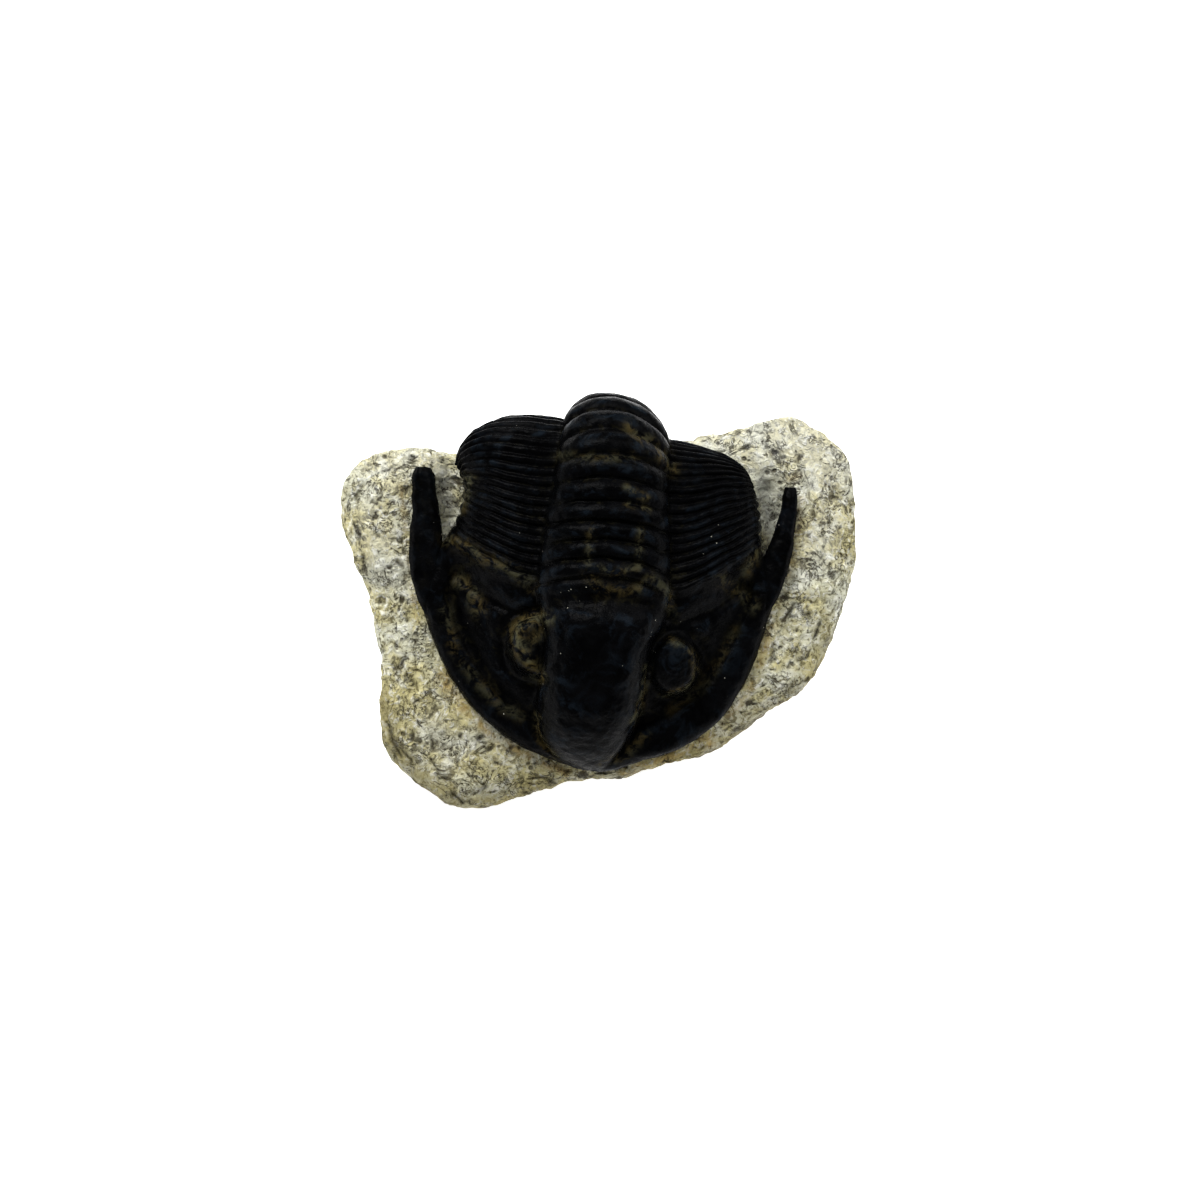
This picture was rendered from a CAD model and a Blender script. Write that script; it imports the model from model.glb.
"""Trilobite fossil on limestone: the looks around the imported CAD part."""
import math

import bmesh
import bpy
import numpy as np
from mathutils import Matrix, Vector, noise


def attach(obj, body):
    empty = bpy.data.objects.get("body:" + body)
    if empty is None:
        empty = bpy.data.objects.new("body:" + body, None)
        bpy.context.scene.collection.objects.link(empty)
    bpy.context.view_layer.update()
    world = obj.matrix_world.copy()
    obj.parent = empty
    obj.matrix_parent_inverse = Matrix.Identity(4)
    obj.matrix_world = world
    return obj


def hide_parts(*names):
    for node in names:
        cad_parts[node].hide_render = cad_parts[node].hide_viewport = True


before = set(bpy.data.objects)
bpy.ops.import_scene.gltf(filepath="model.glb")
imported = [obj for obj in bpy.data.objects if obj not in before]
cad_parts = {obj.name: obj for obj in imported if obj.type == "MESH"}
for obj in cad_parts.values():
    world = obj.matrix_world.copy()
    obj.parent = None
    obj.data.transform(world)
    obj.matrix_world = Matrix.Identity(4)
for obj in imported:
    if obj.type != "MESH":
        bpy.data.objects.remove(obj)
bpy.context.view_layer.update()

# Driving dimensions, in millimetres and degrees.
TILT = 22.0  # slope of the stone's top face
TOP_HEIGHT = 6.95  # height of the picture frame's origin over the ground
YAW = 2.85  # turn of the animal in the picture frame
YAW_SHIFT = 0.2
HINGE = 4.0  # height of the axial furrows over the head's margin
HEAD_CENTRE = (-0.09, 1.39)
RINGS = 10
RING_PITCH = 1.06
BEND_START, BEND_FULL, BEND_RATE = 3.35, 7.9, 0.325  # millimetres along the back, radians per millimetre
TAIL_BEND = 0.05  # radians per millimetre
TAIL_LENGTH = 6.4
# Axis of the back: places along it, half width and height there.
AXIS_AT = [0.0, 2.5, 5.0, 7.5, 10.6]
AXIS_HALF = [3.85, 3.65, 3.35, 3.2, 2.95]
AXIS_HEIGHT = [2.4, 2.4, 2.35, 2.15, 2.0]
AXIS_LEAN = 0.25  # the axis leaves the middle, to the right, as it nears the tail
SIDE_DROP = (4.0, 2.4)  # depth of the rib tips at the neck and in the bend
TAIL_ROLL = 8.0  # the tail end leans, left side up
RING_RELIEF, RIB_RELIEF, TIP_RELIEF = 0.42, 0.26, 0.34
GAP = 0.3  # room left between the fossil and its stone
INNER = 0.42  # share of each row's points that lie on the axis

MM = 0.001
YAW_COS, YAW_SIN = math.cos(math.radians(YAW)), math.sin(math.radians(YAW))
TILT_COS, TILT_SIN = math.cos(math.radians(TILT)), math.sin(math.radians(TILT))

# Head margin in the picture frame, from the right rear corner round the front to the left rear corner.
HEAD_MARGIN = [
    (9.14, 3.71), (10.10, 0.93), (9.77, -0.35), (8.73, -3.54), (7.00, -6.15), (4.67, -7.89),
    (2.35, -8.62), (-0.09, -9.22), (-2.47, -8.64), (-5.48, -7.19), (-7.51, -5.34), (-8.96, -3.25),
    (-10.18, -0.35), (-10.60, 1.60), (-9.25, 4.76),
]
# Rear edge of the head, in the picture frame.
NECK_LINE = [(-9.25, 4.76), (-6.6, 2.9), (-3.7, 1.62), (-1.8, 1.95), (0.3, 2.05), (2.2, 1.75), (4.2, 1.1),
             (6.6, 2.1), (9.14, 3.71)]
# Left and right reach of the ribs along the back.
REACH_AT = [0.0, 2.2, 4.5, 6.5, 8.5, 10.6]
REACH_LEFT = [9.3, 8.7, 8.5, 8.8, 9.05, 8.5]
REACH_RIGHT = [9.0, 8.95, 8.65, 8.25, 7.95, 7.5]
# Glabella, from its front to the neck: place, middle, half width, height of its crest.
GLABELLA_AT = [-9.15, -8.6, -7.6, -6.0, -4.0, -2.0, -0.2, 0.9, 1.6, 2.2]
GLABELLA_MIDDLE = [0.0, -0.5, -0.75, -0.6, -0.4, -0.2, 0.0, 0.0, 0.0, 0.0]
GLABELLA_HALF = [0.25, 1.3, 2.3, 2.95, 3.05, 3.1, 3.6, 3.8, 3.85, 3.85]
GLABELLA_TOP = [0.6, 1.9, 3.5, 5.0, 5.9, 6.35, 6.4, 5.85, 6.4, 6.2]
# Eyes in the picture frame: centre, radii.
EYES = [((-3.75, -1.85), (1.5, 1.75)), ((4.3, -3.0), (1.5, 1.7))]
EYE_HEIGHT = 1.55
# Cheek spines: centre line in the picture frame, height, half width, half height.
LEFT_SPINE = [
    (-9.2, -0.8, 0.3, 0.45, 0.40), (-9.85, 1.2, 0.45, 0.80, 0.65), (-10.1, 3.4, 0.45, 0.98, 0.75),
    (-10.1, 5.4, 0.45, 0.86, 0.70), (-10.2, 7.2, 0.45, 0.69, 0.62), (-10.27, 8.15, 0.45, 0.62, 0.56),
    (-10.27, 8.5, 0.45, 0.44, 0.42),
]
RIGHT_SPINE = [
    (8.7, -0.8, 0.3, 0.45, 0.40), (9.5, 0.8, 0.45, 0.72, 0.60), (10.15, 2.6, 0.45, 0.80, 0.68),
    (10.6, 4.1, 0.45, 0.68, 0.62), (10.92, 5.45, 0.45, 0.50, 0.52), (11.07, 6.8, 0.45, 0.43, 0.44),
    (11.12, 7.35, 0.45, 0.30, 0.30),
]
# Rim of the stone in the picture frame (u, w, n), anticlockwise from the right.
STONE_RIM = [
    (15.05, 4.6, -1.6), (14.9, 7.1, -1.3), (14.25, 9.3, -1.0), (12.5, 10.9, -0.6), (11.25, 11.45, -0.5),
    (8.6, 11.0, -0.8), (5.4, 10.3, -1.2), (2.5, 9.1, -1.6), (-3.0, 8.8, -1.6), (-6.5, 9.0, -1.4),
    (-9.0, 9.5, -1.0), (-12.0, 9.6, -0.9), (-13.8, 9.1, -1.1), (-14.9, 8.0, -1.3), (-15.2, 6.8, -1.4),
    (-14.6, 4.3, -1.5), (-13.75, 1.6, -1.5), (-13.2, -0.8, -1.5), (-12.8, -2.6, -1.4), (-12.9, -5.3, -1.3),
    (-12.65, -7.6, -1.4), (-11.45, -9.2, -1.5), (-10.0, -10.4, -1.6), (-8.6, -11.3, -1.8),
    (-7.0, -11.45, -1.9), (-4.2, -10.5, -1.4), (-1.2, -9.7, -0.8), (2.2, -9.05, -0.6), (4.9, -8.5, -0.7), (7.5, -7.35, -1.2),
    (9.45, -5.85, -1.5), (11.7, -4.45, -1.8), (13.25, -2.3, -2.1), (14.15, 0.1, -2.1), (15.0, 2.85, -1.9),
]
# Lumps and hollows of the stone's top: centre, radii, height.
STONE_LUMPS = [
    ((11.2, 9.6), (3.2, 2.4), 0.9), ((-9.2, 8.6), (2.2, 1.0), 0.35), ((-9.0, 6.4), (0.75, 2.3), -0.9),
    ((9.7, 6.0), (0.8, 2.6), -0.8), ((-10.6, -7.2), (2.2, 2.6), 0.35), ((-12.9, 5.6), (1.4, 2.8), 0.25),
    ((12.9, 4.2), (1.3, 3.0), 0.25), ((12.2, -1.2), (1.4, 1.8), -0.25), ((-11.6, -1.2), (1.0, 1.6), -0.2),
]
STONE_MIDDLE = (0.0, 1.2, -0.6)
BASE_SHRINK = 0.66  # width of the spot that the stone rests on, against its top
BASE_MIDDLE = 0.6
WAVINESS = ((0.32, 0.34), (0.83, 0.14))  # lumps a millimetre and their depth
RIM_CALM, SIDE_WILD = 0.35, 1.6  # how much of that depth the rim and the middle of the sides take
FLAT_UNDER = 0.35  # height up to which the stone stays as it is worked out


def smooth(low, high, value):
    """0 below low, 1 above high, eased between."""
    t = np.clip((value - low) / (high - low), 0.0, 1.0)
    return t * t * (3.0 - 2.0 * t)


def to_body(points):
    """Picture frame (u, w) to the animal's own frame."""
    p = np.asarray(points, float)
    u, w = p[..., 0] - YAW_SHIFT, p[..., 1]
    return np.stack([u * YAW_COS - w * YAW_SIN, u * YAW_SIN + w * YAW_COS], -1)


def from_body(x, y, z):
    u = x * YAW_COS + y * YAW_SIN + YAW_SHIFT
    w = -x * YAW_SIN + y * YAW_COS
    return np.stack([u, w, z], -1)


def to_world(points):
    u, w, n = points[..., 0], points[..., 1], points[..., 2]
    return np.stack([u, w * TILT_COS - n * TILT_SIN, TOP_HEIGHT + w * TILT_SIN + n * TILT_COS], -1) * MM


def eased(at, xs, ys):
    """A smooth curve through the points (xs, ys), read at the places in at."""
    xs, ys = np.asarray(xs, float), np.asarray(ys, float)
    slopes = np.gradient(ys, xs)
    at = np.clip(at, xs[0], xs[-1])
    k = np.clip(np.searchsorted(xs, at) - 1, 0, len(xs) - 2)
    step = xs[k + 1] - xs[k]
    t = (at - xs[k]) / step
    return ((1 + 2 * t) * (1 - t) ** 2 * ys[k] + t * (1 - t) ** 2 * step * slopes[k]
            + t * t * (3 - 2 * t) * ys[k + 1] + t * t * (t - 1) * step * slopes[k + 1])


# Back line of the animal: place of the hinge line and its direction, by the distance from the neck.
BACK_S = np.linspace(0.0, RINGS * RING_PITCH + TAIL_LENGTH, 361)
BEND = BEND_RATE * np.clip((BACK_S - BEND_START) / (BEND_FULL - BEND_START), 0.0, 1.0)
BEND[BACK_S > RINGS * RING_PITCH] = TAIL_BEND
STEP = BACK_S[1]
BACK_ANGLE = -np.cumsum(BEND) * STEP
NECK_Y = 2.05
BACK_Y = NECK_Y + np.cumsum(np.cos(BACK_ANGLE)) * STEP
BACK_Z = HINGE + np.cumsum(np.sin(BACK_ANGLE)) * STEP

MARGIN_BODY = to_body(HEAD_MARGIN) - np.array(HEAD_CENTRE)
MARGIN_ANGLE = np.unwrap(np.arctan2(MARGIN_BODY[:, 1], MARGIN_BODY[:, 0]))
MARGIN_RADIUS = np.hypot(MARGIN_BODY[:, 0], MARGIN_BODY[:, 1])
NECK_BODY = to_body(NECK_LINE)
EYES_BODY = [(to_body(centre), radii) for centre, radii in EYES]


def back_frame(s):
    """Hinge line point, direction along the back and outward direction."""
    y, z, angle = (np.interp(s, BACK_S, v) for v in (BACK_Y, BACK_Z, BACK_ANGLE))
    return y + np.minimum(s, 0.0), z, np.cos(angle), np.sin(angle)


def roll_at(s):
    return math.radians(TAIL_ROLL) * float(smooth(3.0, 9.5, s))


def lean_at(s):
    return AXIS_LEAN * float(smooth(3.0, 9.0, s))


def rib_section(a, s, grow):
    """Cross section of the back: sideways place and height over the hinge line, for a from -1 to 1."""
    half = float(eased(s, AXIS_AT, AXIS_HALF))
    height = float(eased(s, AXIS_AT, AXIS_HEIGHT))
    drop = SIDE_DROP[0] + (SIDE_DROP[1] - SIDE_DROP[0]) * float(smooth(2.5, 7.5, s)) + 2 * grow
    reach = np.where(a < 0, eased(s, REACH_AT, REACH_LEFT), eased(s, REACH_AT, REACH_RIGHT)) + grow
    drop = drop - math.sin(roll_at(s)) * reach * np.sign(a)
    side = np.abs(a)
    bow = np.clip(side / INNER, 0, 1) * (math.pi / 2)
    fall = np.clip((side - INNER) / (1 - INNER), 0, 1) * (math.pi / 2)
    on_axis = side <= INNER
    on_side = half + (reach - half) * np.sin(fall) ** 0.8
    x = np.where(on_axis, half * (0.9 * np.sin(bow) + 0.1 * side / INNER), on_side) * np.sign(a)
    x = x + lean_at(s) * np.cos(fall)
    round_off = 0.9 + 0.25 * float(smooth(4.0, 8.0, s))
    h = np.where(on_axis, (height + grow) * np.cos(bow) ** round_off, grow - drop * (1 - np.cos(fall) ** 0.9))
    return x, h


def ring_relief(a, s):
    """Rings across the axis and two fine ribs a segment on the sides."""
    turn = s / RING_PITCH
    bold = 1 + 0.18 * math.sin(2.3 * s + 0.6)
    ring = RING_RELIEF * bold * (np.abs(np.sin(math.pi * turn)) ** 0.6 - 0.55)
    rib = RIB_RELIEF * (np.abs(np.sin(2 * math.pi * turn)) ** 0.8 - 0.5)
    side = np.abs(a)
    fade = smooth(0.44, 0.36, side)
    return ring * fade + rib * (1 - fade) * smooth(1.0, 0.9, side)


def back_row(a, s, grow=0.0):
    """One row of points across the thorax."""
    x, h = rib_section(a, s, grow)
    if grow == 0.0:
        h = h + ring_relief(a, s)
        notch = 1 - abs(math.sin(math.pi * s / RING_PITCH)) ** 0.6
        x = x - np.sign(a) * TIP_RELIEF * notch * smooth(0.86, 1.0, np.abs(a)) * smooth(0.0, 1.5, s)
    neck_x, neck_y = NECK_BODY[:, 0], NECK_BODY[:, 1]
    sweep = (eased(x, neck_x, neck_y) - NECK_Y) * (1 - s / (RINGS * RING_PITCH))
    y, z, dy, dz = back_frame(np.full(a.shape, s) + sweep)
    h = h - math.sin(roll_at(s)) * x
    return from_body(x, y - dz * h, z + dy * h)


def tail_row(a, t, grow=0.0):
    """One row of points across the tail shield, t from 0 at its front edge to 1 at its rear edge."""
    s0 = RINGS * RING_PITCH
    x0, h0 = rib_section(a, s0, grow)
    reach = np.where(a < 0, REACH_LEFT[-1], REACH_RIGHT[-1]) + grow
    length = TAIL_LENGTH + grow - 0.4
    across = np.clip(x0 / reach, -1, 1)
    x = x0 * np.sqrt(1 - t * t / 2)
    s = t * np.sqrt(1 - across ** 2 / 2) * length
    out = np.clip(np.hypot(x / reach, s / length), 0, 1)
    drop = SIDE_DROP[1] + 2 * grow - math.sin(roll_at(s0)) * x
    core = AXIS_HALF[-1] / reach
    fall = np.clip((out - core) / (1 - core), 0, 1)
    side_h = grow - drop * (1 - np.sqrt(1 - fall ** (2.4 - 0.7 * t)))
    taper = np.clip(s / 5.0, 0, 1)
    half = AXIS_HALF[-1] * (1 - 0.5 * taper) * np.sqrt(np.clip(1 - taper ** 6, 0, 1)) + 1e-3
    bow = np.sqrt(np.clip(1 - ((x - lean_at(s0) * (1 - t)) / half) ** 2, 0, 1))
    axis_h = (AXIS_HEIGHT[-1] * (1 - 0.42 * taper) + grow) * bow
    h = side_h + axis_h
    if grow == 0.0:
        ring = 0.24 * np.abs(np.sin(math.pi * s / 0.62)) - 0.12
        fan = np.arctan2(s + 1.2, np.abs(x) - 1.0)
        rib = 0.16 * np.abs(np.sin(fan * 7.0)) - 0.08
        on = smooth(0.25, 0.55, bow)
        edge = smooth(0.97, 0.86, out)
        h = h + (ring * on + rib * (1 - on) * edge) * smooth(0.0, 0.12, t)
        h = np.where(t < 0.12, h + (h0 - side_h - axis_h) * (1 - t / 0.12), h)
    h = h - math.sin(roll_at(s0)) * x
    y, z, dy, dz = back_frame(s0 + s)
    return from_body(x, y - dz * h, z + dy * h)


def head_height(x, y, out, reach):
    """Height of the head shield over its margin, at (x, y); out is 0 at its middle and 1 at the margin."""
    inward = (1 - out) * reach
    rim = 1.2 * np.sqrt(np.clip(1 - (1 - np.clip(inward / 0.95, 0, 1)) ** 2, 0, 1))
    rim = rim - 0.45 * smooth(1.05, 1.75, inward)
    climb = np.clip((0.86 - out) / 0.46, 0, 1)
    cheek = rim + 2.65 * (1 - (1 - climb) ** 1.8)
    rear = eased(x, NECK_BODY[:, 0], NECK_BODY[:, 1]) - y
    off_axis = smooth(3.6, 4.4, np.abs(x))
    cheek = cheek - 0.35 * np.exp(-((rear - 1.75) / 0.5) ** 2) * off_axis * smooth(0.98, 0.8, out)
    for (ex, ey), (rx, ry) in EYES_BODY:
        d = np.hypot((x - ex) / rx, (y - ey) / ry)
        cheek = cheek + EYE_HEIGHT * smooth(1.12, 0.72, d) - 0.18 * np.exp(-((d - 1.25) / 0.13) ** 2)
    half = eased(y, GLABELLA_AT, GLABELLA_HALF)
    crest = eased(y, GLABELLA_AT, GLABELLA_TOP)
    aside = np.abs(x - eased(y, GLABELLA_AT, GLABELLA_MIDDLE)) / half
    bow = np.sqrt(np.clip(1 - aside ** 2.6, 0, 1))
    furrow = 0.3 * np.exp(-((aside - 1.03) / 0.07) ** 2) * smooth(-8.9, -7.5, y)
    return np.where(aside < 1, np.minimum(cheek, 3.4) * (1 - bow) + crest * bow, cheek) - furrow


def follow_glabella(a, x, y, share):
    """Moves a row's points sideways so that the axis columns run along the edge of the glabella."""
    moved = x.copy()
    for sign in (-1.0, 1.0):
        mine = a * sign > 0
        column = np.interp(sign * INNER, a, x) * sign
        tip = x[0 if sign < 0 else -1] * sign
        aside = x[mine] * sign
        half, middle = (eased(y[mine], GLABELLA_AT, v) for v in (GLABELLA_HALF, GLABELLA_MIDDLE))
        wish = (half + sign * middle - column) * share * smooth(-8.4, -7.4, y[mine])
        goal = column + wish
        inside = aside * goal / column
        outside = goal + (aside - column) * (tip - goal) / (tip - column)
        moved[mine] = np.where(aside <= column, inside, outside) * sign
    return moved


def head_row(a, b, grow=0.0):
    """One row of points across the head, b from 0 at the neck to 1 at the front margin."""
    first_x, h0 = rib_section(a, 0.0, grow)
    reach = np.where(a < 0, REACH_LEFT[0], REACH_RIGHT[0]) + grow
    across = first_x / reach
    dx, dy = across * math.sqrt(1 - b * b / 2), b * np.sqrt(1 - across ** 2 / 2)
    cx, cy = HEAD_CENTRE

    def spread(px, py):
        out = np.clip(np.hypot(px, py), 0, 1)
        turn = np.arctan2(py, px) / math.pi
        angle = MARGIN_ANGLE[0] + (MARGIN_ANGLE[-1] - MARGIN_ANGLE[0]) * turn
        edge = eased(-angle, -MARGIN_ANGLE, MARGIN_RADIUS) + grow
        return cx + np.cos(angle) * edge * out, cy + np.sin(angle) * edge * out, out, edge

    x, y, out, edge = spread(dx, dy)
    bx, by, _, _ = spread(across, np.zeros_like(across))
    neck_y = eased(first_x, NECK_BODY[:, 0], NECK_BODY[:, 1])
    near = (1 - b) ** 2
    x, y = x + (first_x - bx) * near, y + (neck_y - by) * near
    x = follow_glabella(a, x, y, float(smooth(0.0, 0.2, b) * smooth(1.0, 0.8, b)))
    z = head_height(x, y, out, edge - grow) + grow
    neck_z = HINGE + h0 + (ring_relief(a, 0.0) if grow == 0.0 else 0.0)
    z = z + (neck_z - z) * math.exp(-b / 0.07)
    z = np.where((np.abs(a) >= 1) | (b >= 1.0), -grow, z)
    return from_body(x, y, z)


def animal_rows(cols, head_rows, rows_per_ring, tail_rows, grow=0.0):
    """Rows of points from the head's front to the tail's rear edge, with each row's slope and hollow."""
    a = np.linspace(-1, 1, cols + 1)
    rows = [head_row(a, 1 - (k / head_rows) ** 1.15, grow) for k in range(head_rows)]
    places = [RING_PITCH * k / rows_per_ring for k in range(RINGS * rows_per_ring)]
    rows += [back_row(a, s, grow) for s in places]
    rows += [tail_row(a, k / tail_rows, grow) for k in range(tail_rows + 1)]
    slopes = [(0.0, 0.0)] * head_rows
    for s in places:
        angle = float(np.interp(s, BACK_S, BACK_ANGLE))
        slopes.append((angle, 0.95 * float(smooth(5.0, 45.0, -math.degrees(angle)))))
    for k in range(tail_rows + 1):
        angle = float(np.interp(RINGS * RING_PITCH + TAIL_LENGTH * k / tail_rows, BACK_S, BACK_ANGLE))
        slopes.append((angle, 0.95 * (1 - k / tail_rows)))
    return rows, slopes


def zip_rows(faces, first, second):
    """Joins two rows of point numbers of different lengths with triangles."""
    i = j = 0
    ends = len(first) - 1, len(second) - 1
    while i < ends[0] or j < ends[1]:
        if j == ends[1] or (i < ends[0] and (i + 1) * ends[1] <= (j + 1) * ends[0]):
            faces.append((first[i], first[i + 1], second[j]))
            i += 1
        else:
            faces.append((first[i], second[j + 1], second[j]))
            j += 1


def closed_shell(rows, slopes, grow=0.0):
    """A closed body: the rows on top, and an underside between their ends, hollowed where the back bends."""
    count = len(rows[0])
    points = [p for row in rows for p in row]
    number = [list(range(k * count, (k + 1) * count)) for k in range(len(rows))]
    faces = []
    for upper, lower in zip(number, number[1:]):
        for i in range(count - 1):
            faces.append((upper[i], lower[i], lower[i + 1], upper[i + 1]))
    under = []
    for k in range(1, len(rows) - 1):
        left, right = rows[k][0], rows[k][-1]
        angle, hollow = slopes[k]
        down = np.array([0.0, math.sin(angle), -math.cos(angle)]) * (0.25 + grow - hollow)
        line = [number[k][0]]
        for part in (0.12, 0.5, 0.88):
            line.append(len(points))
            points.append(left + (right - left) * part + down)
        under.append(line + [number[k][-1]])
    zip_rows(faces, number[0], under[0])
    for upper, lower in zip(under, under[1:]):
        for i in range(len(upper) - 1):
            faces.append((upper[i], upper[i + 1], lower[i + 1], lower[i]))
    zip_rows(faces, under[-1], number[-1])
    return np.array(points), faces


def swept(line, sides, grow=0.0):
    """A round closed body along a line of (u, w, n, half width, half height)."""
    line = np.array(line)
    line[:, 3:] += grow
    if grow:
        line[-1, 1] += grow
    points, faces = [], []
    for k in range(len(line)):
        ahead = line[min(k + 1, len(line) - 1), :2] - line[max(k - 1, 0), :2]
        ahead = ahead / np.hypot(*ahead)
        for i in range(sides):
            turn = 2 * math.pi * i / sides
            side = math.cos(turn) * line[k, 3]
            points.append([line[k, 0] + ahead[1] * side, line[k, 1] - ahead[0] * side,
                           line[k, 2] + math.sin(turn) * line[k, 4]])
    for k in range(len(line) - 1):
        for i in range(sides):
            j = (i + 1) % sides
            faces.append((k * sides + i, k * sides + j, (k + 1) * sides + j, (k + 1) * sides + i))
    faces.append(tuple(range(sides))[::-1])
    faces.append(tuple((len(line) - 1) * sides + i for i in range(sides)))
    return np.array(points), faces


def around(values, first_angle, angle, turns):
    """Values given round the rim, read at even turns."""
    wrapped = np.concatenate([[angle[-1] - 2 * math.pi], angle, [first_angle + 2 * math.pi]])
    at = first_angle + np.arange(turns) * 2 * math.pi / turns
    return eased(at, wrapped, np.concatenate([[values[-1]], values, [values[0]]]))


def stone_points(turns, top_rings, side_rings):
    """The stone: rings over the top from its middle, down the sides and over the base."""
    rim, middle = np.array(STONE_RIM), np.array(STONE_MIDDLE)
    out_u, out_w = rim[:, 0] - middle[0], rim[:, 1] - middle[1]
    angle = np.unwrap(np.arctan2(out_w, out_u))
    radius = around(np.hypot(out_u, out_w), angle[0], angle, turns)
    rim_n = around(rim[:, 2], angle[0], angle, turns)
    turn = angle[0] + np.arange(turns) * 2 * math.pi / turns
    points = [middle]
    for k in range(1, top_rings + 1):
        part = (k / top_rings) ** 0.75
        u = middle[0] + np.cos(turn) * radius * part
        w = middle[1] + np.sin(turn) * radius * part
        n = (rim_n + 0.1) * (1 - np.sqrt(np.clip(1 - part ** 7, 0, 1))) - 0.1
        for (cu, cw), (ru, rw), lift in STONE_LUMPS:
            n = n + lift * np.exp(-((u - cu) / ru) ** 2 - ((w - cw) / rw) ** 2) * (1 - part ** 6)
        points += list(np.stack([u, w, n], -1))
    world = to_world(np.array(points)) / MM
    edge = world[-turns:]
    rings = [world]
    for k in range(1, side_rings + 1):
        quarter = k / side_rings * math.pi / 2
        pull = (1 - BASE_SHRINK) * (1 - math.cos(quarter))
        x = edge[:, 0] * (1 - pull)
        y = edge[:, 1] + (BASE_MIDDLE - edge[:, 1]) * pull
        rings.append(np.stack([x, y, edge[:, 2] * (1 - math.sin(quarter))], -1))
    rings.append(np.array([[0.0, BASE_MIDDLE, 0.0]]))
    points = np.concatenate(rings)
    for i, p in enumerate(points):
        down = np.clip(((i - 1) / turns - top_rings) / side_rings, -1, 1)
        wild = 1.0 if down < -1 / side_rings else RIM_CALM + SIDE_WILD * math.sin(math.pi * max(down, 0.0))
        lift = np.clip((p[2] - FLAT_UNDER) / 1.2, 0, 1)
        shift = sum((noise.noise_vector(Vector(p * often)) * deep for often, deep in WAVINESS), Vector())
        points[i] = p + np.array(shift) * wild * lift
    return points


def ring_faces(turns, rings):
    faces = [(0, 1 + i, 1 + (i + 1) % turns) for i in range(turns)]
    for k in range(rings - 1):
        for i in range(turns):
            j = (i + 1) % turns
            a, b = 1 + k * turns, 1 + (k + 1) * turns
            faces.append((a + i, b + i, b + j, a + j))
    last = 1 + rings * turns
    a = 1 + (rings - 1) * turns
    faces += [(last, a + (i + 1) % turns, a + i) for i in range(turns)]
    return faces


def make_object(name, points, faces, material, paints, smooth_faces=True):
    mesh = bpy.data.meshes.new(name)
    mesh.from_pydata((np.asarray(points)).tolist(), [], faces)
    for label, values in paints.items():
        layer = mesh.color_attributes.new(label, "FLOAT_COLOR", "POINT")
        layer.data.foreach_set("color", np.ascontiguousarray(values, dtype=np.float32).ravel())
    work = bmesh.new()
    work.from_mesh(mesh)
    bmesh.ops.recalc_face_normals(work, faces=work.faces)
    work.to_mesh(mesh)
    work.free()
    mesh.polygons.foreach_set("use_smooth", [smooth_faces] * len(mesh.polygons))
    mesh.materials.append(material)
    thing = bpy.data.objects.new(name, mesh)
    bpy.context.scene.collection.objects.link(thing)
    return thing


def roughen(points, scale, amount, seed=0.0):
    """Noise vectors for each point, in millimetres."""
    shifts = [noise.noise_vector(Vector(p * scale + seed)) for p in points]
    return np.array([tuple(v) for v in shifts]) * amount


def strokes(points, lines):
    """How strongly each point lies under strokes of (strength, width, [(u, w), ...])."""
    total = np.zeros(len(points))
    for strength, width, line in lines:
        best = np.full(len(points), 1e9)
        for (ax, ay), (bx, by) in zip(line, line[1:]):
            dx, dy = bx - ax, by - ay
            t = np.clip(((points[:, 0] - ax) * dx + (points[:, 1] - ay) * dy) / (dx * dx + dy * dy), 0, 1)
            best = np.minimum(best, np.hypot(points[:, 0] - ax - t * dx, points[:, 1] - ay - t * dy))
        total = np.maximum(total, strength * np.exp(-(best / width) ** 2))
    return total


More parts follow.
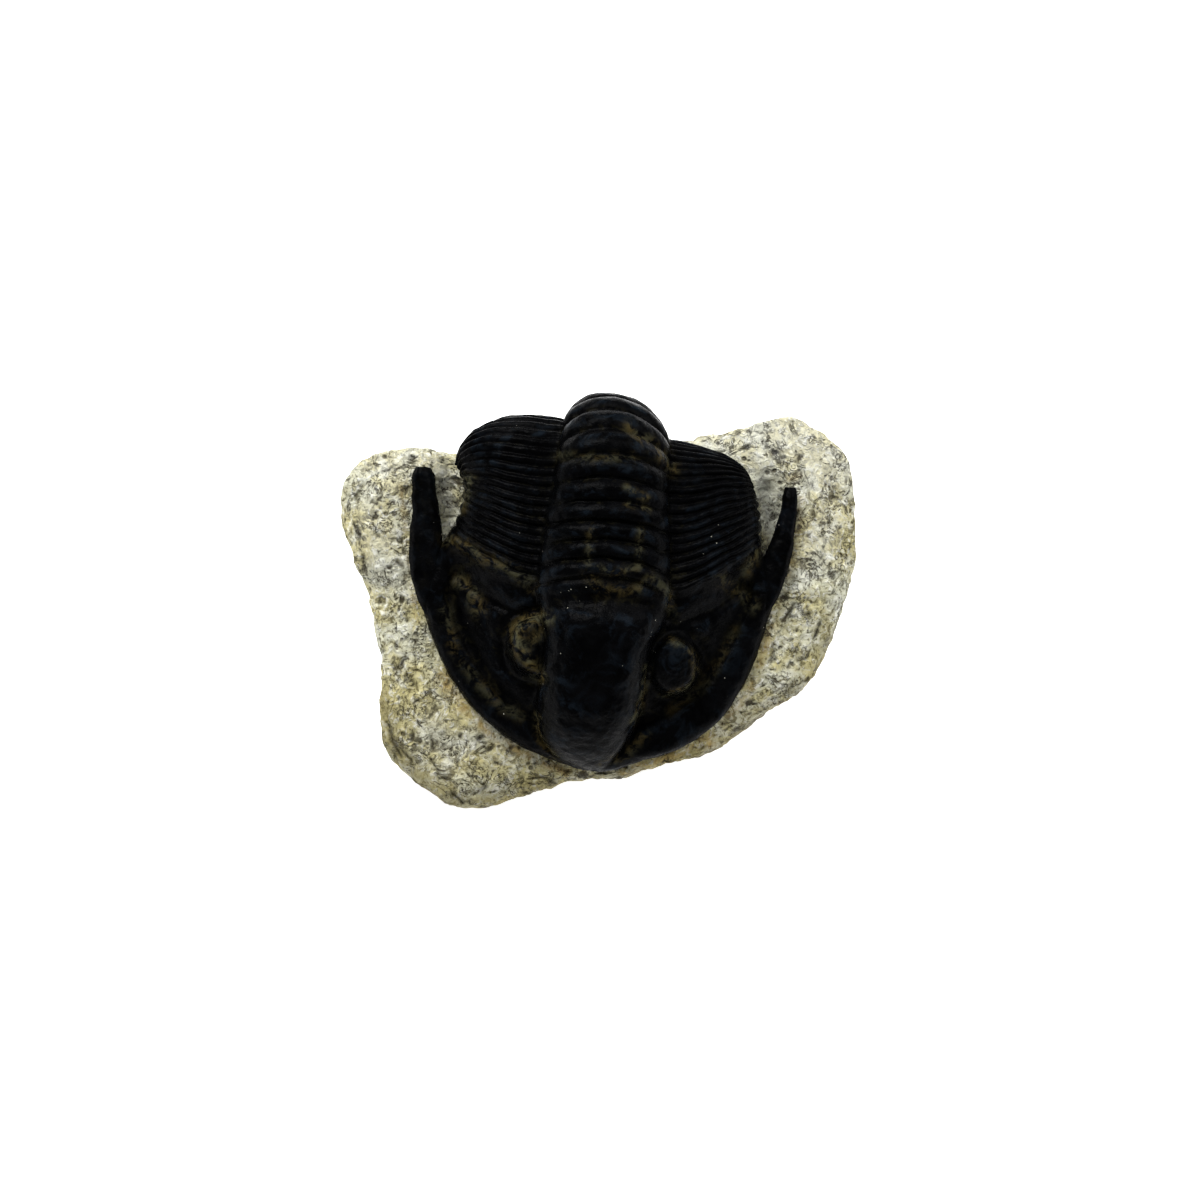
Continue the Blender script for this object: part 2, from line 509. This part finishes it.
# Matrix stain left on the fossil, in the picture frame: strength, half width, line.
STAINS = [
    (1.0, 0.38, [(-3.0, -0.2), (-4.0, -0.2), (-4.8, -1.0), (-4.5, -2.1), (-3.8, -3.0), (-3.4, -3.5)]),
    (0.7, 0.30, [(-3.4, -1.0), (-3.7, -1.5)]),
    (0.6, 0.16, [(4.0, -1.4), (5.2, -2.2), (5.6, -3.2), (5.0, -4.2), (3.6, -4.7)]),
    (0.55, 0.22, [(-3.6, -5.9), (-3.45, -7.3), (-2.5, -8.4)]),
    (0.6, 0.2, [(2.7, -3.1), (2.4, -5.0), (1.9, -6.2)]),
    (0.6, 0.26, [(2.6, -7.0), (1.5, -8.2), (0.2, -8.7)]),
    (0.5, 0.3, [(-0.6, 2.3), (0.0, 1.4), (1.8, 1.2), (2.9, 2.0), (3.8, 1.4), (4.2, 0.0)]),
    (0.6, 0.35, [(-9.0, 4.4), (-7.6, 3.9), (-6.6, 3.1)]),
    (0.5, 0.35, [(-6.4, 3.1), (-5.2, 2.6), (-3.9, 1.6)]),
    (0.7, 0.40, [(-8.1, 2.0), (-7.4, 1.4), (-7.0, 0.2)]),
    (0.45, 0.35, [(7.0, 2.0), (8.0, 1.4), (9.0, 0.4)]),
    (0.7, 0.3, [(8.5, 2.4), (9.1, 3.6)]),
    (0.38, 0.32, [(-8.9, 0.2), (-8.4, -2.1), (-7.2, -3.8), (-5.8, -5.3), (-4.6, -5.9)]),
    (0.25, 0.30, [(7.9, -0.9), (7.0, -2.7), (5.8, -4.4), (4.1, -5.6)]),
    (0.5, 0.2, [(-0.5, 4.9), (-0.6, 2.9), (0.6, 2.3), (2.2, 2.6), (2.3, 4.7)]),
    (0.5, 0.18, [(1.5, 7.2), (2.7, 6.6), (1.6, 6.2), (2.9, 5.9)]),
    (0.55, 0.35, [(1.7, 10.6), (3.0, 9.7), (4.2, 8.3)]),
    (0.35, 0.25, [(-2.3, 9.1), (0.0, 8.8), (2.0, 8.9)]),
    (0.9, 0.28, [(-8.1, 7.9), (-7.4, 7.7)]),
    (0.5, 0.3, [(-8.0, 6.0), (-7.6, 7.2)]),
]
# Dark cracks and pits of the stone, and yellow-brown stains beside the fossil.
CRACKS = [
    (1.0, 0.10, [(-13.8, 3.4), (-13.7, 2.6)]), (0.8, 0.12, [(-11.8, 3.1), (-11.5, 2.8)]),
    (0.9, 0.16, [(-11.2, -3.6), (-10.9, -4.1)]), (0.9, 0.12, [(-12.4, -6.2), (-12.1, -7.4), (-11.6, -8.3)]),
    (0.9, 0.10, [(-11.6, -7.9), (-11.0, -8.5)]), (1.0, 0.12, [(-8.6, -10.5), (-8.0, -11.0)]),
    (0.8, 0.10, [(-5.6, -8.0), (-4.9, -8.2)]), (0.9, 0.10, [(-4.1, -9.6), (-3.3, -9.5), (-2.6, -9.9)]),
    (1.0, 0.12, [(11.3, 0.5), (10.7, -0.4)]), (1.0, 0.10, [(12.9, -0.5), (12.6, -1.4)]),
    (0.8, 0.10, [(10.2, -1.7), (10.0, -2.8)]), (0.8, 0.12, [(11.6, -2.7), (12.1, -2.6)]),
    (0.9, 0.12, [(12.4, 5.9), (12.5, 5.6)]), (0.9, 0.08, [(13.1, 7.6), (13.8, 7.2)]),
    (0.7, 0.10, [(7.8, -6.9), (8.3, -6.7)]), (0.7, 0.08, [(-9.9, -8.4), (-9.3, -9.4), (-8.4, -9.9)]),
    (0.8, 0.09, [(-6.6, -10.1), (-7.4, -10.5)]), (0.7, 0.08, [(-9.6, -5.4), (-9.9, -6.1)]),
    (0.6, 0.08, [(-10.6, -1.4), (-10.9, -2.0)]), (0.6, 0.08, [(-13.0, 6.4), (-12.6, 5.9)]),
    (0.7, 0.08, [(-12.7, 8.3), (-12.1, 8.5)]), (0.7, 0.08, [(-14.2, 6.9), (-13.8, 7.5)]),
]
FRAGMENTS = [
    (1.0, 0.34, [(10.2, 9.5), (10.4, 8.9), (10.3, 8.3)]), (0.8, 0.25, [(9.1, 6.5), (9.2, 5.9)]),
    (0.7, 0.2, [(9.1, 5.2), (9.1, 4.9)]),
]
RUST = [
    (0.5, 0.20, [(-11.5, 7.6), (-11.4, 5.4), (-11.1, 3.2), (-10.9, 1.2), (-10.6, -0.4)]),
    (1.0, 0.36, [(-9.2, -3.6), (-8.5, -4.8), (-7.8, -5.6)]),
    (0.9, 0.30, [(-7.4, -6.0), (-6.0, -7.3), (-3.8, -8.5), (-2.0, -9.2)]),
    (0.9, 0.28, [(1.5, -9.2), (3.0, -8.7), (5.0, -8.0), (6.4, -7.2)]),
    (0.7, 0.25, [(7.3, -6.4), (8.8, -4.4), (9.6, -2.2), (10.3, 0.4)]),
    (0.9, 0.30, [(5.8, -7.4), (6.4, -7.6)]),
    (0.5, 0.25, [(11.7, 6.8), (11.5, 4.4), (11.0, 2.2)]),
    (0.5, 0.3, [(11.0, 7.9), (11.5, 8.0)]),
]
WEATHERED = [
    (1.0, 0.9, [(-12.9, -5.0), (-12.3, -7.6), (-10.2, -10.0), (-8.0, -11.2), (-6.0, -11.0), (-3.0, -10.1)]),
    (0.9, 0.8, [(-3.0, -10.1), (0.0, -9.6), (4.0, -8.9), (7.5, -7.4), (10.0, -5.9)]),
    (0.7, 0.8, [(10.0, -5.9), (12.4, -3.8), (13.8, -1.4)]), (0.35, 2.2, [(-10.0, -5.6), (-8.6, -8.3), (-5.0, -9.0)]),
]
CHALKY = [
    (1.0, 1.9, [(8.6, 10.2), (11.4, 10.6), (13.2, 8.6)]), (0.8, 1.5, [(-12.6, 8.6), (-10.2, 8.8)]),
    (0.6, 1.2, [(-13.2, 5.6), (-12.6, 2.6)]), (0.5, 1.2, [(-9.6, -6.8), (-8.8, -7.6)]),
    (0.7, 1.0, [(13.4, 6.0), (12.6, 3.0)]), (0.9, 0.9, [(5.2, 9.7), (8.4, 10.2)]),
]
SHADED = [
    (1.0, 0.55, [(-9.2, 8.2), (-8.9, 6.6), (-8.5, 5.3)]), (1.0, 0.6, [(9.4, 7.8), (9.9, 6.2), (10.1, 4.6)]),
    (0.6, 0.5, [(8.9, 8.6), (9.6, 8.0)]),
]


def colour(values):
    return (*values, 1.0)


class Shade:
    """Short hand for a material's nodes."""

    def __init__(self, name):
        self.material = bpy.data.materials.new(name)
        self.material.use_nodes = True
        self.tree = self.material.node_tree
        self.shader = self.tree.nodes["Principled BSDF"]
        self.place = self.tree.nodes.new("ShaderNodeTexCoord").outputs["Object"]

    def put(self, target, value):
        if isinstance(value, bpy.types.NodeSocket):
            self.tree.links.new(value, target)
        else:
            target.default_value = value

    def math(self, operation, a, b=0.0, c=0.0):
        node = self.tree.nodes.new("ShaderNodeMath")
        node.operation = operation
        node.use_clamp = False
        for socket, value in zip(node.inputs, (a, b, c)):
            self.put(socket, value)
        return node.outputs[0]

    def noise(self, scale, detail=4.0, rough=0.55, twist=0.0, offset=0.0):
        shift = self.tree.nodes.new("ShaderNodeVectorMath")
        shift.operation = "ADD"
        self.put(shift.inputs[0], self.place)
        shift.inputs[1].default_value = (offset, offset * 0.7, -offset)
        node = self.tree.nodes.new("ShaderNodeTexNoise")
        self.put(node.inputs["Vector"], shift.outputs[0])
        node.inputs["Scale"].default_value = scale
        node.inputs["Detail"].default_value = detail
        node.inputs["Roughness"].default_value = rough
        node.inputs["Distortion"].default_value = twist
        return node.outputs["Fac"]

    def cells(self, scale, feature="F1"):
        node = self.tree.nodes.new("ShaderNodeTexVoronoi")
        node.feature = feature
        self.put(node.inputs["Vector"], self.place)
        node.inputs["Scale"].default_value = scale
        return node.outputs["Distance"]

    def span(self, value, low, high, to_low=0.0, to_high=1.0):
        node = self.tree.nodes.new("ShaderNodeMapRange")
        node.interpolation_type = "SMOOTHSTEP"
        for key, v in (("Value", value), ("From Min", low), ("From Max", high), ("To Min", to_low), ("To Max", to_high)):
            self.put(node.inputs[key], v)
        return node.outputs["Result"]

    def mix(self, factor, a, b):
        node = self.tree.nodes.new("ShaderNodeMix")
        node.data_type = "RGBA"
        self.put(node.inputs["Factor"], factor)
        self.put(node.inputs[6], a)
        self.put(node.inputs[7], b)
        return node.outputs[2]

    def paint(self, label):
        node = self.tree.nodes.new("ShaderNodeVertexColor")
        node.layer_name = label
        split = self.tree.nodes.new("ShaderNodeSeparateColor")
        self.put(split.inputs[0], node.outputs["Color"])
        return split.outputs

    def bump(self, height, strength, distance, normal=None):
        node = self.tree.nodes.new("ShaderNodeBump")
        node.inputs["Strength"].default_value = strength
        node.inputs["Distance"].default_value = distance
        self.put(node.inputs["Height"], height)
        if normal is not None:
            self.put(node.inputs["Normal"], normal)
        return node.outputs["Normal"]


def fossil_material():
    m = Shade("fossil_black_looks")
    hollow, crest, stain = m.paint("relief")
    mottle = m.noise(900.0, 5.0, 0.6, 0.4)
    grain = m.noise(3500.0, 4.0, 0.6, offset=3.0)
    base = m.mix(m.span(mottle, 0.35, 0.7), colour((0.0005, 0.0005, 0.0006)), colour((0.0016, 0.0017, 0.0020)))
    sheen = m.math("MULTIPLY", crest, m.span(m.noise(800.0, 5.0, 0.65, 0.8, 7.0), 0.47, 0.70))
    base = m.mix(m.math("MULTIPLY", sheen, 0.6), base, colour((0.0070, 0.0105, 0.0150)))
    dusty = m.math("MULTIPLY", hollow, m.span(m.noise(1300.0, 5.0, 0.65, 0.8, 1.3), 0.48, 0.68))
    base = m.mix(m.math("MULTIPLY", dusty, 0.6), base, colour((0.009, 0.008, 0.004)))
    film = m.math("MULTIPLY", stain, m.span(m.noise(1500.0, 6.0, 0.72, 0.6, 5.0), 0.43, 0.58))
    tint = m.mix(m.span(m.noise(800.0, 3.0, 0.5, 0.0, 9.0), 0.4, 0.62), colour((0.050, 0.048, 0.027)),
                 colour((0.056, 0.042, 0.015)))
    base = m.mix(film, base, tint)
    sparse = m.span(m.noise(600.0, 2.0, 0.5, 0.0, 2.0), 0.60, 0.66)
    speck = m.math("MULTIPLY", m.span(m.cells(2300.0), 0.10, 0.05), sparse)
    base = m.mix(speck, base, colour((0.30, 0.29, 0.24)))
    m.put(m.shader.inputs["Base Color"], base)
    m.put(m.shader.inputs["Roughness"], m.span(grain, 0.3, 0.7, 0.15, 0.36))
    m.shader.inputs["Specular IOR Level"].default_value = 0.012
    first = m.bump(m.noise(1600.0, 5.0, 0.6, 0.3, 4.0), 0.6, 0.00014)
    m.put(m.shader.inputs["Normal"], m.bump(grain, 0.4, 0.00005, first))
    return m.material


def stone_material():
    m = Shade("limestone_cream_looks")
    crack, rust, shaded = m.paint("marks")
    fragment, weathered, chalky = m.paint("more")
    broad = m.noise(330.0, 4.0, 0.6, 0.4)
    grain = m.noise(1900.0, 5.0, 0.68, 0.9, 3.0)
    fine = m.noise(4600.0, 4.0, 0.65, 0.5, 11.0)
    patch = m.noise(800.0, 5.0, 0.65, 0.6, 6.0)
    base = m.mix(m.span(broad, 0.40, 0.62), colour((0.56, 0.505, 0.25)), colour((0.59, 0.585, 0.44)))
    base = m.mix(m.span(patch, 0.50, 0.66, 0.0, 0.75), base, colour((0.76, 0.76, 0.64)))
    base = m.mix(m.span(patch, 0.47, 0.32, 0.0, 0.65), base, colour((0.29, 0.27, 0.15)))
    base = m.mix(m.span(grain, 0.53, 0.64, 0.0, 0.85), base, colour((0.80, 0.80, 0.71)))
    base = m.mix(m.span(grain, 0.47, 0.36, 0.0, 0.85), base, colour((0.11, 0.095, 0.042)))
    base = m.mix(m.span(fine, 0.465, 0.36, 0.0, 0.75), base, colour((0.10, 0.086, 0.038)))
    base = m.mix(m.math("MULTIPLY", chalky, 0.40), base, colour((0.72, 0.73, 0.68)))
    base = m.mix(m.math("MULTIPLY", weathered, 0.60), base, colour((0.20, 0.165, 0.055)))
    thread = m.math("ABSOLUTE", m.math("SUBTRACT", m.noise(1250.0, 3.0, 0.6, 1.6, 31.0), 0.5))
    thread = m.math("MULTIPLY", m.span(thread, 0.030, 0.008), m.span(m.noise(620.0, 3.0, 0.6, 0.0, 33.0), 0.50, 0.58))
    vein = m.math("ABSOLUTE", m.math("SUBTRACT", m.noise(430.0, 5.0, 0.6, 1.2, 8.0), 0.5))
    vein = m.math("MULTIPLY", m.span(vein, 0.020, 0.005), m.span(m.noise(700.0, 3.0, 0.6, 0.0, 12.0), 0.50, 0.60))
    vein = m.math("MAXIMUM", vein, thread)
    pits = m.span(m.noise(500.0, 3.0, 0.6, 0.0, 15.0), 0.50, 0.60)
    pit = m.math("MULTIPLY", m.span(m.cells(1500.0), 0.28, 0.12), pits)
    ragged = m.math("MULTIPLY", crack, m.span(m.noise(2600.0, 4.0, 0.6, 0.0, 20.0), 0.34, 0.52))
    dark = m.math("MAXIMUM", m.math("MAXIMUM", m.math("MULTIPLY", vein, 0.8), m.math("MULTIPLY", pit, 0.75)), ragged)
    rusty = m.math("MULTIPLY", rust, m.span(m.noise(1100.0, 5.0, 0.65, 0.4, 17.0), 0.36, 0.6, 0.0, 0.85))
    base = m.mix(rusty, base, colour((0.36, 0.25, 0.075)))
    base = m.mix(m.math("MULTIPLY", shaded, 0.6), base, colour((0.30, 0.31, 0.29)))
    base = m.mix(dark, base, colour((0.030, 0.023, 0.010)))
    dusky = m.math("MULTIPLY", fragment, m.span(m.noise(1800.0, 5.0, 0.7, 0.0, 23.0), 0.40, 0.56))
    base = m.mix(dusky, base, colour((0.07, 0.068, 0.062)))
    m.put(m.shader.inputs["Base Color"], base)
    m.shader.inputs["Roughness"].default_value = 0.88
    m.shader.inputs["Specular IOR Level"].default_value = 0.2
    deep = m.math("SUBTRACT", grain, m.math("MULTIPLY", dark, 0.9))
    first = m.bump(m.noise(700.0, 6.0, 0.65, 0.3, 25.0), 0.6, 0.0005)
    m.put(m.shader.inputs["Normal"], m.bump(deep, 1.0, 0.00045, first))
    return m.material


CRACK_DEPTH = 0.17


def cavity(rows):
    """How hollow each point of the grid is against its neighbours, along the surface's normal."""
    grid = np.array(rows)
    along = np.gradient(grid, axis=0)
    across = np.gradient(grid, axis=1)
    normal = np.cross(across, along)
    normal /= np.maximum(np.linalg.norm(normal, axis=2, keepdims=True), 1e-9)
    if normal[len(grid) // 3, grid.shape[1] // 2, 2] < 0:
        normal = -normal
    mean = np.zeros_like(grid)
    for axis, reach in ((0, 6), (1, 5)):
        for step in (-reach, reach):
            index = np.clip(np.arange(grid.shape[axis]) + step, 0, grid.shape[axis] - 1)
            mean += np.take(grid, index, axis=axis) / 4
    return np.sum((mean - grid) * normal, axis=2)


COLS, HEAD_ROWS, RING_ROWS, TAIL_ROWS = 210, 130, 15, 60
rows, slopes = animal_rows(COLS, HEAD_ROWS, RING_ROWS, TAIL_ROWS)
bend = cavity(rows).ravel()
points, faces = closed_shell(rows, slopes)
top = len(bend)
points[:top] += roughen(points[:top], 0.9, 0.07) + roughen(points[:top], 2.6, 0.03, 9.0)
bend = np.concatenate([bend, np.zeros(len(points) - top)])
relief = np.ones((len(points), 4))
relief[:, 0] = smooth(0.005, 0.06, bend)
relief[:, 1] = smooth(-0.002, -0.05, bend)
relief[:, 2] = strokes(points, STAINS) * (np.arange(len(points)) < top)
fossil = fossil_material()
body = make_object("trilobite_body", to_world(points), faces, fossil, {"relief": relief})
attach(body, "root")
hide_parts("trilobite")


def fine_line(line, steps):
    """The same spine with more stations along it."""
    line = np.array(line)
    reach = np.concatenate([[0], np.cumsum(np.hypot(*np.diff(line[:, :2], axis=0).T))])
    at = reach[-1] * (1 - (1 - np.linspace(0, 1, steps)) ** 1.2)
    return np.stack([eased(at, reach, line[:, k]) for k in range(5)], -1)


for side, line in (("left", LEFT_SPINE), ("right", RIGHT_SPINE)):
    spine_points, spine_faces = swept(fine_line(line, 90), 40)
    spine_points += roughen(spine_points, 1.1, 0.07) + roughen(spine_points, 3.0, 0.03, 4.0)
    paint = np.ones((len(spine_points), 4))
    paint[:, 0] = 0.15
    paint[:, 1] = 0.35
    paint[:, 2] = strokes(spine_points, STAINS) * 0.5
    spine = make_object("spine_" + side, to_world(spine_points), spine_faces, fossil, {"relief": paint})
    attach(spine, "root")
    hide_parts("trilobite")


def dents(points, often, low, high):
    """Where small hollows lie, from 0 to 1."""
    return smooth(low, high, np.array([noise.noise(Vector(p * often)) for p in points]))


TURNS, TOP_RINGS, SIDE_RINGS = 500, 110, 50
rock = stone_points(TURNS, TOP_RINGS, SIDE_RINGS)
lift = np.clip((rock[:, 2] - 0.2) / 1.0, 0, 1)[:, None]
rock = rock + (roughen(rock, 1.4, 0.10, 3.0) + roughen(rock, 3.7, 0.07, 6.0)) * lift
in_frame = np.stack([rock[:, 0], rock[:, 1] * TILT_COS + (rock[:, 2] - TOP_HEIGHT) * TILT_SIN], -1)
hollow = np.maximum(dents(rock, 1.6, 0.44, 0.60), dents(rock + 40.0, 3.3, 0.48, 0.62) * 0.7)
on_top = smooth(-2.8, -1.9, rock[:, 2] * TILT_COS - rock[:, 1] * TILT_SIN - TOP_HEIGHT * TILT_COS)
crack = np.maximum(strokes(in_frame, CRACKS) * on_top, hollow * 0.9)
rock[:, 2] -= crack * CRACK_DEPTH * lift[:, 0]
marks = np.ones((len(rock), 4))
marks[:, 0], marks[:, 1], marks[:, 2] = crack, strokes(in_frame, RUST) * on_top, strokes(in_frame, SHADED) * on_top
more = np.ones((len(rock), 4))
more[:, 0], more[:, 1], more[:, 2] = (strokes(in_frame, lines) for lines in (FRAGMENTS, WEATHERED, CHALKY))
stone = make_object("stone_block", rock * MM, ring_faces(TURNS, TOP_RINGS + SIDE_RINGS), stone_material(),
                    {"marks": marks, "more": more})
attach(stone, "root")
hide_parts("stone")


# Lamps: name, place in metres, side, watts.
LAMPS = [
    ("key", (-0.12, 0.16, 0.30), 0.20, 2.05), ("fill", (0.20, 0.10, 0.26), 0.24, 0.8),
    ("front", (0.02, -0.30, 0.24), 0.26, 0.06),
]


def build_stage():
    scene = bpy.context.scene
    floor_mesh = bpy.data.meshes.new("floor")
    side = 1.5
    floor_mesh.from_pydata([(-side, -side, 0), (side, -side, 0), (side, side, 0), (-side, side, 0)], [], [(0, 1, 2, 3)])
    floor = bpy.data.objects.new("floor", floor_mesh)
    scene.collection.objects.link(floor)
    paper = bpy.data.materials.new("paper")
    paper.use_nodes = True
    shader = paper.node_tree.nodes["Principled BSDF"]
    shader.inputs["Base Color"].default_value = (0.92, 0.92, 0.92, 1.0)
    shader.inputs["Roughness"].default_value = 0.9
    shader.inputs["Specular IOR Level"].default_value = 0.0
    shader.inputs["Emission Color"].default_value = (1.0, 1.0, 1.0, 1.0)
    shader.inputs["Emission Strength"].default_value = 0.9
    floor_mesh.materials.append(paper)
    world = bpy.data.worlds.new("studio")
    scene.world = world
    world.use_nodes = True
    world.node_tree.nodes["Background"].inputs["Color"].default_value = (1.0, 1.0, 1.0, 1.0)
    world.node_tree.nodes["Background"].inputs["Strength"].default_value = 0.2
    for name, place, size, power in LAMPS:
        data = bpy.data.lights.new(name, "AREA")
        data.shape = "SQUARE"
        data.size = size
        data.energy = power
        light = bpy.data.objects.new(name, data)
        light.location = place
        light.rotation_euler = (Vector((0, 0.001, 0.006)) - Vector(place)).to_track_quat("-Z", "Y").to_euler()
        scene.collection.objects.link(light)


def build_camera():
    scene = bpy.context.scene
    data = bpy.data.cameras.new("camera")
    data.lens = 100.0
    data.sensor_width = 36.0
    data.clip_start = 0.01
    data.clip_end = 10.0
    camera = bpy.data.objects.new("camera", data)
    scene.collection.objects.link(camera)
    target = to_world(np.array([0.03, 0.81, 1.0]))
    distance = 0.1933
    camera.location = (target[0], target[1] - TILT_SIN * distance, target[2] + TILT_COS * distance)
    camera.rotation_euler = (math.radians(TILT), 0.0, 0.0)
    scene.camera = camera


build_stage()
build_camera()
scene = bpy.context.scene
scene.view_settings.view_transform = "Standard"
scene.view_settings.look = "None"
scene.view_settings.exposure = 0.0
scene.view_settings.gamma = 1.0
